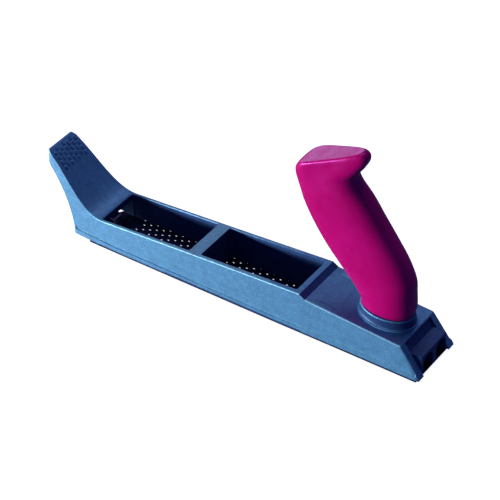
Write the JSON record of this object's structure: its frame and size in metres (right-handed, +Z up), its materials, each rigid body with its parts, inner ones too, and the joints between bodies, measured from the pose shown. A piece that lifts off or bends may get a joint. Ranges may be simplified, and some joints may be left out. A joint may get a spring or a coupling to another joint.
{
  "type": "rasp plane",
  "caption": "Hand rasp plane: long cast body with an upswept thumb wing, two chip windows over a tensioned perforated blade, and a forward-leaning pistol grip.",
  "frame": {"origin": "middle of the tool's length and width, on the blade's underside where the tool rests", "axes": "+X along the tool from toe to heel, +Y across it, +Z up from the blade"},
  "size_m": [0.2904, 0.0422, 0.1419],
  "materials": {
    "body_paint": "steel-blue metallic hammer-fine paint on a die casting",
    "blade_steel": "dark hardened steel sheet",
    "zinc_steel": "bright zinc-plated steel",
    "insert_brass": "turned brass",
    "grip_plastic": "smooth glossy crimson moulding"
  },
  "bodies": {
    "body": {"body": "body_paint", "screw_washer": "zinc_steel"},
    "blade": {"blade": "blade_steel"},
    "tension_screw": {"tension_screw": "zinc_steel"},
    "tension_hook": {"tension_hook": "zinc_steel"},
    "handle": {"handle_grip": "grip_plastic", "handle_insert": "insert_brass"},
    "bolt_washers": {"handle_flat_washer": "zinc_steel", "handle_spring_washer": "zinc_steel"},
    "handle_bolt": {"handle_bolt": "zinc_steel"}
  },
  "joints": [
    {"name": "tension_screw_turn", "type": "hinge", "parent": "body", "child": "tension_screw", "pos_m": [-0.12, 0, 0.0075], "axis": [-1, 0, 0], "range_deg": [0, 1081]},
    {"name": "hook_travel", "type": "slide", "parent": "body", "child": "tension_hook", "axis": [1, 0, 0], "range_m": [0, 0.0021]},
    {"name": "blade_release", "type": "slide", "parent": "body", "child": "blade", "axis": [0, 0, -1], "range_m": [0, 0.03]},
    {"name": "handle_turn", "type": "hinge", "parent": "body", "child": "handle", "pos_m": [0.1095, 0, 0.02556], "axis": [0.0529, 0, 0.9986], "range_deg": [0, 180]},
    {"name": "washer_drop", "type": "slide", "parent": "body", "child": "bolt_washers", "axis": [-0.0529, 0, -0.9986], "range_m": [0, 0.002]},
    {"name": "handle_bolt_turn", "type": "hinge", "parent": "bolt_washers", "child": "handle_bolt", "pos_m": [0.1095, 0, 0.02556], "axis": [-0.0529, 0, -0.9986], "range_deg": [0, 721]}
  ],
  "couplings": [
    {"joint": "tension_screw_turn", "follows": "hook_travel", "rad_per_m": 8976},
    {"joint": "handle_bolt_turn", "follows": "washer_drop", "rad_per_m": 6283.2}
  ]
}
